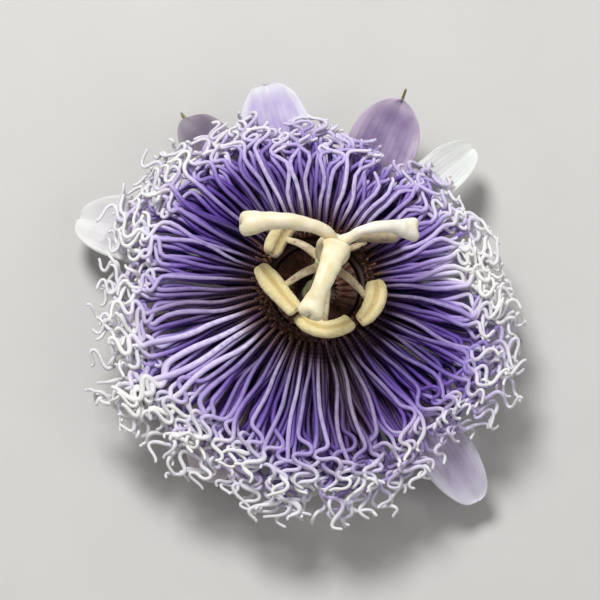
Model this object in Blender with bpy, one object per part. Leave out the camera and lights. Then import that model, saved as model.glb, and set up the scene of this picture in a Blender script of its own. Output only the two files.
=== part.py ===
"""A passion flower as picked: one blossom on a short stalk, laid on its back on a table.

Metres, +Z up. The flower faces up and stands on the drooping tips of four of its sepals, and
its stalk curls along the table underneath. The origin is on the table, under the middle of
the flower's box. All the sizes below are millimetres, and MM turns them into metres.

From the table upwards the flower is a stalk with three bracts, a fleshy cup, five sepals,
five petals, two wheels of long corona threads, a collar of short threads, the lid that closes
the throat, and a column, which carries five stamens, the ovary and its three styles.
"""

import math

import bmesh
import bpy
from mathutils import Matrix, Vector

MM = 0.001
GAP = 0.3  # left between pieces that touch on the living flower
UP = Vector((0, 0, 1))

# The cup: heights above the table, and radii.
CUP_FOOT = 5.3
CUP_FOOT_RADIUS = 2.0
CUP_RIM = 13.4
CUP_RADIUS = 10.8
THROAT_RADIUS = 8.0
THROAT_FLOOR = 8.4

STALK_RADIUS = 1.3
STALK_REACH = 29.0
STALK_TOWARDS = 315.0
STALK_SWAY = 1.6
BRACTS_TOWARDS = (15, 135, 255)
BRACT_LENGTH = 14.0
BRACT_WIDTH = 9.0
BRACT_THICKNESS = 0.5

# Sepals and petals: the way each points, how far its tip is from the flower's axis, how high
# the tip is above the table, the slope in degrees at which it leaves the cup, and its width.
SEPAL_THICKNESS = 0.8
AWN_LENGTH = 3.2
RESTING = 0.3  # the height of a tip that rests on the table
SEPALS = (
    {"towards": 66, "reach": 40.5, "tip": 14.0, "rise": -13, "width": 12.4},
    {"towards": 124, "reach": 43.5, "tip": RESTING + 0.1, "rise": -6, "width": 9.4},
    {"towards": 202, "reach": 39.0, "tip": RESTING, "rise": 0, "width": 10.4},
    {"towards": 266, "reach": 38.0, "tip": RESTING, "rise": 0, "width": 10.4},
    {"towards": 350, "reach": 39.0, "tip": RESTING, "rise": 2, "width": 10.4},
)
PETAL_THICKNESS = 0.5
PETALS = (
    {"towards": 103, "reach": 39.5, "tip": 9.5, "rise": -2, "width": 12.6},
    {"towards": 161, "reach": 45.0, "tip": 6.0, "rise": 0, "width": 12.4},
    {"towards": 238, "reach": 39.0, "tip": 5.0, "rise": 0, "width": 11.4},
    {"towards": 308, "reach": 46.7, "tip": 5.0, "rise": 0, "width": 10.4},
    {"towards": 44, "reach": 39.5, "tip": 7.5, "rise": -1, "width": 8.4},
)

# The corona's two wheels of long threads, and its collar of short ones.
LONG_THREADS = 56
SHORT_THREADS = 36
RING_HEIGHT = 0.9
RING_WIDTH = 1.1
# How far the longest threads reach from the flower's axis, every 30 degrees round the flower.
REACH = (36.5, 32.5, 31.5, 32.5, 36.5, 41.0, 40.5, 45.5, 42.5, 44.5, 43.5, 42.0)
UPPER_WHEEL_SHORTER_BY = 4.0

# The column leans over, and the ovary on its top nods a little further the same way.
COLUMN_HEIGHT = 15.0
COLUMN_RADIUS = 1.4
COLUMN_HEAD_RADIUS = 1.9
COLUMN_LEAN = 12.0
OVARY_NOD = 12.0
LEAN_TOWARDS = 48.0
OVARY_HEIGHT = 6.0
OVARY_RADIUS = 2.8

# Stamens: the way each points, how far its anther is from the column's axis and above the
# column's foot, how many degrees the anther is turned from square to its filament and rolled
# on its side, how long it is, and how far its ends bow back towards the column.
STAMENS = (
    {"towards": 34, "radius": 10.3, "height": 13.6, "turn": 58, "roll": 70, "length": 9.0, "bow": 0.4},
    {"towards": 145, "radius": 9.8, "height": 12.4, "turn": 6, "roll": -35, "length": 8.6, "bow": 0.4},
    {"towards": 211, "radius": 10.3, "height": 13.6, "turn": 7, "roll": 0, "length": 10.8, "bow": 0.2},
    {"towards": 269, "radius": 11.6, "height": 11.4, "turn": -2, "roll": 0, "length": 9.6, "bow": 2.2},
    {"towards": 321, "radius": 10.9, "height": 12.8, "turn": 19, "roll": 0, "length": 8.6, "bow": 1.3},
)
ANTHER_WIDTH = 3.4
ANTHER_DEPTH = 2.2

# Styles: the way each points, how far its stigma's end is from the ovary's tip, the slope at
# which it is lifted, and how thick it is beside the others.
STYLES = (
    {"towards": 8, "reach": 13.9, "lift": 0.4, "girth": 1.0},
    {"towards": 173, "reach": 17.4, "lift": 0.0, "girth": 1.15},
    {"towards": 250, "reach": 16.6, "lift": 0.0, "girth": 1.4},
)
STYLE_RADIUS = 0.9
STYLE_ROOT = 1.7  # from the ovary's tip out to where a style starts
STIGMA_RADIUS = 2.4
STIGMA_LENGTH = 3.8

# Base colour and roughness.
COLOURS = {
    "stalk_green": ((0.22, 0.36, 0.09), 0.55),
    "bract_green": ((0.20, 0.38, 0.08), 0.6),
    "cup_green": ((0.35, 0.48, 0.16), 0.5),
    "sepal_mauve": ((0.52, 0.47, 0.60), 0.6),
    "petal_lavender": ((0.66, 0.60, 0.80), 0.6),
    "corona_violet": ((0.16, 0.08, 0.42), 0.5),
    "throat_maroon": ((0.05, 0.01, 0.04), 0.45),
    "column_green": ((0.62, 0.64, 0.32), 0.45),
    "style_cream": ((0.86, 0.80, 0.52), 0.4),
    "anther_yellow": ((0.84, 0.74, 0.36), 0.7),
}


def clear_scene():
    for obj in list(bpy.data.objects):
        bpy.data.objects.remove(obj)


def make_materials():
    made = {}
    for name, (colour, roughness) in COLOURS.items():
        material = bpy.data.materials.new(name)
        material.use_nodes = True
        shader = material.node_tree.nodes["Principled BSDF"]
        shader.inputs["Base Color"].default_value = (*colour, 1)
        shader.inputs["Roughness"].default_value = roughness
        made[name] = material
    return made


def outward(degrees):
    """The level unit vector that points this way round the flower."""
    turn = math.radians(degrees)
    return Vector((math.cos(turn), math.sin(turn), 0))


def smooth_step(share):
    share = min(max(share, 0.0), 1.0)
    return share * share * (3 - 2 * share)


def add_object(name, mesh, material, parent):
    """Links a new object under its parent and shades it smooth."""
    mesh.materials.append(MATERIALS[material])
    mesh.shade_smooth()
    obj = bpy.data.objects.new(name, mesh)
    obj.parent = parent
    bpy.context.collection.objects.link(obj)
    return obj


def add_axis(name, parent=None, height=0.0, lean=0.0, towards=0.0):
    """An empty that stands at this height on its parent and leans over towards one side."""
    axis = bpy.data.objects.new(name, None)
    axis.location = UP * height * MM
    axis.rotation_mode = "QUATERNION"
    tilt = Matrix.Rotation(math.radians(lean), 3, outward(towards + 90))
    axis.rotation_quaternion = tilt.to_quaternion()
    axis.parent = parent
    bpy.context.collection.objects.link(axis)
    return axis


def finished_mesh(name, work):
    """The worked mesh, with its faces turned outwards."""
    bmesh.ops.recalc_face_normals(work, faces=work.faces)
    mesh = bpy.data.meshes.new(name)
    work.to_mesh(mesh)
    work.free()
    return mesh


def skin(work, rings):
    """Joins rings of points into the sides of a tube."""
    for near, far in zip(rings, rings[1:]):
        for k in range(len(near)):
            after = (k + 1) % len(near)
            work.faces.new((near[k], near[after], far[after], far[k]))


def turned(name, profile, material, parent, steps, closed=False):
    """A round solid: a (radius, height) profile swept round Z. It runs down its outer side."""
    mesh = bpy.data.meshes.new(name)
    points = [(radius * MM, 0, height * MM) for radius, height in profile]
    edges = [(i, i + 1) for i in range(len(points) - 1)]
    if closed:
        edges.append((len(points) - 1, 0))
    mesh.from_pydata(points, edges, [])
    obj = add_object(name, mesh, material, parent)
    screw = obj.modifiers.new("Turn", "SCREW")
    screw.steps = screw.render_steps = steps
    screw.use_merge_vertices = True
    screw.merge_threshold = 0.02 * MM
    screw.use_smooth_shade = True
    return obj


def swept(name, spine, half_widths, half_depths, across, section, material, parent):
    """A solid whose section follows the spine, with its width as near as can be to across."""
    work = bmesh.new()
    rings = []
    for i, point in enumerate(spine):
        ahead = (spine[min(i + 1, len(spine) - 1)] - spine[max(i - 1, 0)]).normalized()
        side = (across - ahead * across.dot(ahead)).normalized()
        depth = ahead.cross(side)
        rings.append(
            [
                work.verts.new((point + side * u * half_widths[i] + depth * v * half_depths[i]) * MM)
                for u, v in section
            ]
        )
    skin(work, rings)
    work.faces.new(rings[0])
    work.faces.new(rings[-1])
    return add_object(name, finished_mesh(name, work), material, parent)


def round_section(sides):
    turns = [2 * math.pi * k / sides for k in range(sides)]
    return [(math.cos(turn), math.sin(turn)) for turn in turns]


# Stalk, bracts, cup, sepals and petals


def make_stalk(parent):
    """The cut stalk: down from the cup, round a bend, and along the table."""
    away, across = outward(STALK_TOWARDS), outward(STALK_TOWARDS + 90)
    top, straight = CUP_FOOT - GAP, 0.6
    bend = top - straight - STALK_RADIUS
    spine = [UP * top]
    for k in range(6):
        turn = math.radians(90 * k / 5)
        drop = straight + bend * math.sin(turn)
        spine.append(away * bend * (1 - math.cos(turn)) + UP * (top - drop))
    for k in range(1, 6):
        run = away * (bend + (STALK_REACH - bend) * k / 5)
        spine.append(run + across * STALK_SWAY * math.sin(math.pi * k / 5) + UP * STALK_RADIUS)
    radii = [STALK_RADIUS] * len(spine)
    swept("stalk", spine, radii, radii, across, round_section(10), "stalk_green", parent)


def blade_line(length, rise, bend, start_radius, start_height, steps):
    """(radius, height, slope) along a blade that leaves at the slope rise and bends down."""
    radius, height = start_radius, start_height
    line = []
    for k in range(steps + 1):
        slope = math.radians(rise - bend * (k / steps) ** 1.5)
        line.append((radius, height, slope))
        radius += length / steps * math.cos(slope)
        height += length / steps * math.sin(slope)
    return line


def drooping_line(reach, tip, rise, start_radius, start_height, steps):
    """The blade_line that ends close to this reach, at the height tip."""
    length = 1.02 * math.hypot(reach - start_radius, start_height - tip)
    low, high = -90.0, 180.0
    for _ in range(40):
        bend = (low + high) / 2
        line = blade_line(length, rise, bend, start_radius, start_height, steps)
        if line[-1][1] > tip:
            low = bend
        else:
            high = bend
    return line


def blade(name, line, half_widths, cupping, towards, thickness, material, parent):
    """A thin leaf along the line. Its edges stand above its midline by about cupping."""
    columns = 4
    work = bmesh.new()
    ahead, across = outward(towards), outward(towards + 90)
    rows = []
    for (radius, height, slope), half_width in zip(line, half_widths):
        above = UP * math.cos(slope) - ahead * math.sin(slope)
        row = []
        for k in range(columns + 1):
            u = 2 * k / columns - 1
            lift = cupping * half_width / max(half_widths) * (u * u - 0.4)
            point = ahead * radius + UP * height + across * u * half_width + above * lift
            row.append(work.verts.new(point * MM))
        rows.append(row)
    for near, far in zip(rows, rows[1:]):
        for k in range(columns):
            work.faces.new((near[k], far[k], far[k + 1], near[k + 1]))
    obj = add_object(name, finished_mesh(name, work), material, parent)
    solidify = obj.modifiers.new("Thickness", "SOLIDIFY")
    solidify.thickness = thickness * MM
    solidify.offset = 0


def make_bract(number, towards, parent):
    """A small green leaf under the cup."""
    steps = 6
    start_radius, start_height = STALK_RADIUS + 2 * GAP, CUP_FOOT - 2.5 * GAP
    line = drooping_line(start_radius + BRACT_LENGTH, 1.2, -2, start_radius, start_height, steps)
    half_widths = [
        max(BRACT_WIDTH / 2 * math.sin(math.pi * (0.12 + 0.88 * k / steps)) ** 0.8, 0.3)
        for k in range(steps + 1)
    ]
    blade(f"bract_{number}", line, half_widths, 0.4, towards, BRACT_THICKNESS, "bract_green", parent)


def tepal_half_width(share, width, base_width):
    """Half a petal's width: narrow at the cup, widest beyond its middle, blunt at its tip."""
    widest_at = 0.62
    swell = base_width + (width - base_width) * smooth_step(share / widest_at)
    beyond = max(0.0, (share - widest_at) / (1 - widest_at))
    return swell / 2 * math.sqrt(max(0.0, 1 - beyond**2.6))


def make_tepal(name, plan, base_width, thickness, start_height, material, parent, awn=0.0):
    """One petal or sepal. A sepal ends in an awn, which is a thin horn at its tip."""
    steps = 9
    start_radius = CUP_RADIUS + 2 * GAP
    line = drooping_line(
        plan["reach"], plan["tip"], plan["rise"], start_radius, start_height, steps
    )
    tip_share = 1 - awn / (plan["reach"] - start_radius)
    narrowest = 0.4
    half_widths = [
        max(tepal_half_width(k / steps / tip_share, plan["width"], base_width), narrowest)
        if k / steps < tip_share
        else narrowest
        for k in range(steps + 1)
    ]
    blade(name, line, half_widths, 1.2, plan["towards"], thickness, material, parent)


def make_cup(parent):
    """The receptacle: a fleshy cup whose rim carries the sepals, the petals and the corona."""
    profile = (
        (0, THROAT_FLOOR),
        (4.4, THROAT_FLOOR),
        (6.8, THROAT_FLOOR + 1.2),
        (THROAT_RADIUS - 0.2, THROAT_FLOOR + 3.0),
        (THROAT_RADIUS, CUP_RIM),
        (CUP_RADIUS, CUP_RIM),
        (CUP_RADIUS, CUP_RIM - 2.6),
        (9.6, CUP_RIM - 4.8),
        (7.0, CUP_FOOT + 1.4),
        (4.0, CUP_FOOT + 0.3),
        (CUP_FOOT_RADIUS, CUP_FOOT),
        (0, CUP_FOOT),
    )
    turned("receptacle", profile, "cup_green", parent, steps=28)


# Corona


def reach_towards(degrees):
    """How far the corona reaches this way, read smoothly from the REACH list."""
    place = (degrees % 360) / 360 * len(REACH)
    here = int(place)
    share = smooth_step(place - here)
    return REACH[here] * (1 - share) + REACH[(here + 1) % len(REACH)] * share


def thread_wheel(name, count, turn, radius, base, route, material, parent):
    """One closed ring with threads that grow out of its outer face.

    A slice of the ring stands at either side of each root. route(degrees, number) gives the
    rest of a thread as (radius, height, sideways shift, half width, half height)."""
    work = bmesh.new()
    step = 360 / count
    root_share = 0.58
    corners = (
        (radius - RING_WIDTH, base),
        (radius - RING_WIDTH, base + RING_HEIGHT),
        (radius, base + RING_HEIGHT),
        (radius, base),
    )
    slices = []
    for number in range(count):
        for side in (-1, 1):
            away = outward(turn + step * (number + side * root_share / 2))
            slices.append([work.verts.new((away * r + UP * z) * MM) for r, z in corners])
    for i, here in enumerate(slices):
        there = slices[(i + 1) % len(slices)]
        for k in range(4):
            after = (k + 1) % 4
            at_root = i % 2 == 0 and k == 2
            if not at_root:
                work.faces.new((here[k], here[after], there[after], there[k]))
    for number in range(count):
        degrees = turn + step * number
        right, left = slices[2 * number], slices[2 * number + 1]
        rings = [[right[3], left[3], left[2], right[2]]]
        away, across = outward(degrees), outward(degrees + 90)
        for r, z, shift, half_width, half_height in route(degrees, number):
            middle = away * r + across * shift + UP * z
            rings.append(
                [
                    work.verts.new((middle + across * u * half_width + UP * v * half_height) * MM)
                    for u, v in ((-1, -1), (1, -1), (1, 1), (-1, 1))
                ]
            )
        skin(work, rings)
        work.faces.new(rings[-1])
    add_object(name, finished_mesh(name, work), material, parent)


def long_thread(root_height, crown, tip_drop, shorter_by):
    """The route of a long thread: up to its crown, out, and a kinked tip.

    Every thread has its own length and its own kink, both set by its number."""

    def route(degrees, number):
        reach = reach_towards(degrees) - shorter_by - 1.2 * (1 + math.sin(1.7 * number))
        kink = 1.25 * math.sin(2.4 * number)
        run = reach - CUP_RADIUS
        yield CUP_RADIUS + 0.30 * run, root_height + 0.7 * crown, 0, 0.44, 0.42
        yield CUP_RADIUS + 0.66 * run, root_height + crown, 0, 0.5, 0.42
        yield CUP_RADIUS + 0.84 * run, root_height + 0.5 * crown - 0.4 * tip_drop, kink, 0.4, 0.36
        yield reach, root_height - tip_drop, -0.6 * kink, 0.3, 0.32

    return route


def short_thread(base):
    """The route of a short thread: it stands up, and every other one leans outwards."""

    def route(_, number):
        lean = 0.5 if number % 2 else -0.1
        yield THROAT_RADIUS + 2.1 + lean, base + 0.9, 0, 0.24, 0.2
        yield THROAT_RADIUS + 2.4 + 2.4 * lean, base + 2.1, 0, 0.15, 0.12

    return route


def make_corona(parent):
    """Two wheels of long threads, one above the other, and a collar of short ones."""
    ring_radius = CUP_RADIUS - 0.1
    base = CUP_RIM + GAP
    route = long_thread(base + RING_HEIGHT / 2, crown=1.0, tip_drop=0.6, shorter_by=0)
    thread_wheel("outer_corona", LONG_THREADS, 0, ring_radius, base, route, "corona_violet", parent)
    base += RING_HEIGHT + GAP
    route = long_thread(
        base + RING_HEIGHT / 2, crown=2.4, tip_drop=-1.2, shorter_by=UPPER_WHEEL_SHORTER_BY
    )
    half_step = 180 / LONG_THREADS
    thread_wheel(
        "middle_corona", LONG_THREADS, half_step, ring_radius - 0.4, base, route, "corona_violet", parent
    )
    base += RING_HEIGHT + GAP
    route = short_thread(base + RING_HEIGHT)
    thread_wheel("inner_corona", SHORT_THREADS, 2, ring_radius - 0.9, base, route, "throat_maroon", parent)


def make_operculum(parent):
    """The lid that closes the throat round the column."""
    wall, hole = THROAT_RADIUS - 1.5 * GAP, 3.9
    low = THROAT_FLOOR + 3.2
    profile = (
        (hole, low + 0.4),
        (0.7 * wall, low + 1.0),
        (wall, low + 1.4),
        (wall, low + 0.8),
        (0.7 * wall, low + 0.4),
        (hole, low - 0.2),
    )
    turned("operculum", profile, "throat_maroon", parent, steps=24, closed=True)


# Column, stamens, ovary and styles


def make_column(flower):
    """The column that lifts the stamens and the ovary clear of the corona."""
    foot = add_axis("column_axis", flower, THROAT_FLOOR + 2.5 * GAP, COLUMN_LEAN, LEAN_TOWARDS)
    profile = (
        (0, COLUMN_HEIGHT),
        (COLUMN_HEAD_RADIUS, COLUMN_HEIGHT),
        (COLUMN_HEAD_RADIUS, COLUMN_HEIGHT - 1.3),
        (COLUMN_RADIUS, COLUMN_HEIGHT - 3.0),
        (COLUMN_RADIUS, 5.0),
        (1.8, 2.0),
        (2.3, 0.8),
        (2.2, 0),
        (0, 0),
    )
    turned("androgynophore", profile, "column_green", foot, steps=16)
    for number, plan in enumerate(STAMENS, 1):
        make_stamen(number, plan, foot)
    top = add_axis("ovary_axis", foot, COLUMN_HEIGHT + 1.5 * GAP, OVARY_NOD, LEAN_TOWARDS)
    make_ovary(top)
    for number, plan in enumerate(STYLES, 1):
        make_style(number, plan, top)


def make_stamen(number, plan, parent):
    """A strap-like filament, and the anther that lies across its end."""
    away = outward(plan["towards"])
    root = away * (COLUMN_HEAD_RADIUS + 1.7 * GAP) + UP * (COLUMN_HEIGHT - 0.7)
    anther_at = away * plan["radius"] + UP * plan["height"]
    along = (anther_at - root).normalized()
    across = along.cross(UP).normalized()
    turn = math.radians(abs(plan["turn"]))
    tip_half_width = 0.5
    clearance = (ANTHER_WIDTH / 2 + 1.1 * GAP) / math.cos(turn) + tip_half_width * math.tan(turn)
    tip = anther_at - along * clearance
    arch = 0.9
    spine = [root.lerp(tip, k / 3) + UP * arch * math.sin(math.pi * k / 3) for k in range(4)]
    half_widths = (0.75, 0.85, 0.75, tip_half_width)
    half_depths = (0.45, 0.4, 0.38, 0.35)
    name = f"filament_{number}"
    swept(name, spine, half_widths, half_depths, across, round_section(6), "column_green", parent)
    make_anther(number, anther_at, plan, parent)


def make_anther(number, centre, plan, parent):
    """Two long pollen sacs side by side, with a groove between them above and below."""
    towards = plan["towards"] + 90 + plan["turn"]
    shares = (-1, -0.88, -0.5, 0, 0.5, 0.88, 1)
    spine = [
        centre
        + outward(towards) * share * plan["length"] / 2
        + outward(towards + 90) * share**2 * plan["bow"]
        for share in shares
    ]
    fullness = (0.45, 0.85, 1, 0.96, 1, 0.85, 0.45)
    half_widths = [ANTHER_WIDTH / 2 * full for full in fullness]
    half_depths = [ANTHER_DEPTH / 2 * full for full in fullness]
    section = (
        (1, 0),
        (0.6, 0.95),
        (0, 0.6),
        (-0.6, 0.95),
        (-1, 0),
        (-0.6, -0.95),
        (0, -0.6),
        (0.6, -0.95),
    )
    roll = math.radians(plan["roll"])
    across = outward(towards + 90) * math.cos(roll) + UP * math.sin(roll)
    name = f"anther_{number}"
    swept(name, spine, half_widths, half_depths, across, section, "anther_yellow", parent)


def make_ovary(parent):
    """An egg that stands on the column's head."""
    steps = 8
    profile = []
    for k in range(steps + 1):
        turn = math.pi * k / steps
        radius = OVARY_RADIUS * math.sin(turn) if 0 < k < steps else 0
        profile.append((radius, OVARY_HEIGHT / 2 * (1 + math.cos(turn))))
    turned("ovary", profile, "column_green", parent, steps=16)


def make_style(number, plan, parent):
    """A style that arches out from the ovary's tip and swells into its stigma."""
    away = outward(plan["towards"])
    neck = plan["reach"] - STIGMA_LENGTH
    radius = STYLE_RADIUS * plan["girth"]
    # (distance out, height above the ovary, radius)
    stations = (
        (STYLE_ROOT, -0.25, STYLE_RADIUS),
        (2.2, 1.4, STYLE_RADIUS),
        (0.32 * neck, 2.4, radius + 0.2),
        (0.62 * neck, 2.7, radius + 0.5),
        (0.88 * neck, 1.7, radius + 0.8),
        (neck, 0.9, radius + 1.0),
        (neck + 0.3 * STIGMA_LENGTH, 0.1, STIGMA_RADIUS),
        (neck + 0.7 * STIGMA_LENGTH, -0.9, STIGMA_RADIUS),
        (neck + STIGMA_LENGTH, -1.7, 0.5 * STIGMA_RADIUS),
    )
    top = OVARY_HEIGHT + GAP
    spine = [
        away * out + UP * (top + rise + plan["lift"] * (out - STYLE_ROOT)) for out, rise, _ in stations
    ]
    half_widths = [radius for _, _, radius in stations]
    half_depths = [min(radius, 0.75 * STIGMA_RADIUS) for radius in half_widths]
    across = outward(plan["towards"] + 90)
    name = f"style_{number}"
    swept(name, spine, half_widths, half_depths, across, round_section(8), "style_cream", parent)


def stand_on_origin(flower):
    """Moves the flower so that its box stands on the table with its middle over the origin."""
    bpy.context.view_layer.update()
    graph = bpy.context.evaluated_depsgraph_get()
    corners = []
    for obj in bpy.data.objects:
        if obj.type == "MESH":
            shape = obj.evaluated_get(graph)
            corners += [shape.matrix_world @ vertex.co for vertex in shape.data.vertices]
    low = [min(corner[k] for corner in corners) for k in range(3)]
    high = [max(corner[k] for corner in corners) for k in range(3)]
    flower.location = (-(low[0] + high[0]) / 2, -(low[1] + high[1]) / 2, -low[2])


def make_flower():
    flower = add_axis("flower")
    make_stalk(flower)
    for number, towards in enumerate(BRACTS_TOWARDS, 1):
        make_bract(number, towards, flower)
    make_cup(flower)
    for number, plan in enumerate(SEPALS, 1):
        make_tepal(
            f"sepal_{number}", plan, 6.4, SEPAL_THICKNESS, CUP_RIM - 2.1,
            "sepal_mauve", flower, awn=AWN_LENGTH,
        )
    for number, plan in enumerate(PETALS, 1):
        make_tepal(
            f"petal_{number}", plan, 5.0, PETAL_THICKNESS, CUP_RIM - 0.6,
            "petal_lavender", flower,
        )
    make_corona(flower)
    make_operculum(flower)
    make_column(flower)
    stand_on_origin(flower)


clear_scene()
MATERIALS = make_materials()
make_flower()
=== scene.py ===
# %% [markdown]
# # A passion flower, picked and laid face up
#
# A passion flower looks complicated, but it is built in rings, one above the other: a stalk, a
# fleshy cup, ten petals and sepals, two wheels of long crimped threads, a collar of short ones,
# and a column in the middle that holds up the stamens and the styles. We make one ring at a time.
#
# Plain solids of every organ already exist. They fix where each organ is and how big it is. This
# lesson measures them and puts a finished piece in the place of each.

# %% Load the plain solids
import math
import random

import bmesh
import bpy
import numpy as np
from mathutils import Matrix, Vector, noise


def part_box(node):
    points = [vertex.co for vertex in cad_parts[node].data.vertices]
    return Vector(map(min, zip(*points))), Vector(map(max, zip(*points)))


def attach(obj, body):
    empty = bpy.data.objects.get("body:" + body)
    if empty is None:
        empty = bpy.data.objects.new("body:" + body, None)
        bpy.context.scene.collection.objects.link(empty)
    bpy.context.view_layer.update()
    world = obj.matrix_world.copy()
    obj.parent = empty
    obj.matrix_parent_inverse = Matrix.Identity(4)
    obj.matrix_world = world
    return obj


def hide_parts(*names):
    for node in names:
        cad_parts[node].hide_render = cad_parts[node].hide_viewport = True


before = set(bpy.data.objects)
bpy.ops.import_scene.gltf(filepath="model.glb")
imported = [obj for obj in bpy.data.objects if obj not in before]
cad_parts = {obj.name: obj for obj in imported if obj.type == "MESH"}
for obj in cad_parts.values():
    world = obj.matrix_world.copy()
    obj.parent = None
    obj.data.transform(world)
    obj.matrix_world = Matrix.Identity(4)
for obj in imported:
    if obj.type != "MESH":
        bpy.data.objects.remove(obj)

MM = 0.001
UP = Vector((0, 0, 1))
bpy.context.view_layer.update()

# %% [markdown]
# ## The axis of the flower
#
# Everything grows round the middle of the cup, so that is the first thing to measure. The cup's
# box gives it: half-way between its sides, and as high as its rim. Two more helpers turn a compass
# direction in degrees into a level arrow, and a point into its distance and direction.

# %% Find the cup's middle and its rim
low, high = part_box("receptacle")
middle = Vector(((low.x + high.x) / 2, (low.y + high.y) / 2, 0))
cup_foot, cup_rim = low.z, high.z
cup_radius = (high.x - low.x) / 2


def outward(degrees):
    """A level arrow, one metre long, in this direction."""
    turn = math.radians(degrees)
    return Vector((math.cos(turn), math.sin(turn), 0))


def from_axis(point):
    """How far a point is from the flower's axis, seen from above."""
    return (point - middle).xy.length


def direction_of(point):
    """The direction of a point from the axis, in degrees."""
    away = point - middle
    return math.degrees(math.atan2(away.y, away.x)) % 360


print("Cup radius", round(cup_radius / MM, 1), "mm, rim", round(cup_rim / MM, 1), "mm up")

# %% [markdown]
# ## Reading a solid
#
# A finished petal has to lie where its plain solid lies. Each long thin solid is a stack of rings
# of points, like the rungs of a rope ladder. The first ring is the edge of the solid's flat end.
# Stepping from there along the edges to the neighbours finds the rings one after the other, even
# where the solid curls. The averages of the rings are the solid's middle line.


# %% Measure the rings of a solid
def welded(node):
    """The solid as a bmesh, with the corners that lie on one another joined."""
    solid = bmesh.new()
    solid.from_mesh(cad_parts[node].data)
    bmesh.ops.remove_doubles(solid, verts=solid.verts, dist=1e-7)
    solid.normal_update()
    solid.verts.index_update()
    return solid


def neighbours(vertices, seen):
    """The vertices one edge away that haven't been seen yet, which are then seen."""
    found = []
    for vertex in vertices:
        for edge in vertex.link_edges:
            other = edge.other_vert(vertex)
            if other not in seen:
                seen.add(other)
                found.append(other)
    return found


def flat_patch(face):
    """The corners of all the faces that lie in one plane with this one and join on to it."""
    patch, fresh = {face}, [face]
    while fresh:
        beside = {other for one in fresh for edge in one.edges for other in edge.link_faces}
        fresh = [other for other in beside - patch if other.normal.angle(face.normal, 1.0) < 0.01]
        patch.update(fresh)
    corners = {vertex for one in patch for vertex in one.verts}
    return sorted(corners, key=lambda vertex: vertex.index)  # a set has no order of its own


def mean(points):
    """The average of some points."""
    return sum(points, Vector()) / len(points)


def rings_of(node, corners, start):
    """The solid's rings of points. The first one has this many and lies nearest to start."""
    solid = welded(node)
    patches = [patch for patch in map(flat_patch, solid.faces) if len(patch) == corners]
    nearest = sorted(solid.verts, key=lambda vertex: (vertex.co - start).length)
    patches = patches or [nearest[:corners]]  # an end that isn't quite flat
    ring = min(patches, key=lambda patch: (mean([vertex.co for vertex in patch]) - start).length)
    seen, rings = set(ring), []
    while ring:
        rings.append([vertex.co.copy() for vertex in ring])
        ring = neighbours(ring, seen)
    solid.free()
    return rings


cup_top = middle + UP * cup_rim
print("petal_1 has", len(rings_of("petal_1", corners=10, start=cup_top)), "rings")

# %% [markdown]
# ## Smooth lines and soft changes
#
# A few measured points aren't a curve yet. `smooth_value` reads a list at any place and bends
# smoothly through all its values, so it serves for lines, widths and profiles alike. Living things
# change softly too: `smooth_step` goes from 0 to 1 without a corner, and `bell` fades on both
# sides of a spot.


# %% Helpers for curves
def half_extent(ring, arrow):
    """Half the size of a ring of points along an arrow."""
    centre = mean(ring)
    return max(abs((point - centre).dot(arrow)) for point in ring)


def smooth_value(values, place):
    """Reads a list at any place from 0 to 1, on a smooth curve through all its values."""
    last = len(values) - 1
    k = min(int(place * last), last - 1)
    t = place * last - k
    a, b, c, d = (values[min(max(k + step, 0), last)] for step in (-1, 0, 1, 2))
    curve = 2 * b + (c - a) * t + (2 * a - 5 * b + 4 * c - d) * t**2
    return (curve + (3 * b - a - 3 * c + d) * t**3) / 2


def smooth_line(values, count):
    """The whole list, read at this many even places."""
    return [smooth_value(values, i / (count - 1)) for i in range(count)]


def smooth_step(x):
    """0 up to x = 0, 1 from x = 1, and a soft rise between them."""
    x = min(max(x, 0.0), 1.0)
    return x * x * (3 - 2 * x)


def bell(x, width):
    """1 at x = 0, falling smoothly to nothing beyond about twice the width."""
    return math.exp(-((x / width) ** 2))


print("Half of a soft change:", smooth_step(0.5), "and a bell one width out:", round(bell(1, 1), 2))

# %% [markdown]
# ## From numbers to a piece
#
# Each organ will be computed as rows of points, which are joined into a skin. Every point comes
# with a `place`: how far along the organ it is, how far across or round, and one more number. It
# is stored on the mesh as an attribute. The materials read it, so that a thread can be dark at its
# root and white at its tip whatever way it points. A second attribute, `mood`, carries what
# differs from one thread to the next.


# %% Join rows of points into a skin
class Skin:
    """The points, faces, places and moods of one piece."""

    def __init__(self):
        self.points, self.faces, self.places, self.moods = [], [], [], []

    def add(self, rows, joined=False, mood=(0, 0, 0)):
        """Joins each closed row of (point, place) to the next, then the ends, or shuts them."""
        first, size = len(self.points), len(rows[0])
        for row in rows:
            for point, place in row:
                self.points.append(point)
                self.places.append(place)
                self.moods.append(mood)
        for i in range(len(rows) if joined else len(rows) - 1):
            here, there = first + i * size, first + (i + 1) % len(rows) * size
            for k in range(size):
                after = (k + 1) % size
                self.faces.append((here + k, here + after, there + after, there + k))
        if not joined:
            for end in (first, len(self.points) - size):
                self.faces.append(tuple(range(end, end + size)))

    def piece(self, name, material, node):
        """Makes the finished piece, which takes the place of this plain solid."""
        mesh = bpy.data.meshes.new(name)
        mesh.from_pydata([tuple(point) for point in self.points], [], self.faces)
        for title, values in (("place", self.places), ("mood", self.moods)):
            attribute = mesh.attributes.new(title, "FLOAT_VECTOR", "POINT")
            attribute.data.foreach_set("vector", np.array(values, dtype=np.float32).ravel())
        work = bmesh.new()
        work.from_mesh(mesh)
        bmesh.ops.recalc_face_normals(work, faces=work.faces)
        work.to_mesh(mesh)
        work.free()
        mesh.materials.append(material)
        mesh.shade_smooth()
        made = bpy.data.objects.new(name, mesh)
        bpy.context.collection.objects.link(made)
        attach(made, "root")
        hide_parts(node)
        print(name, "has", len(self.faces), "faces")


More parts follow.
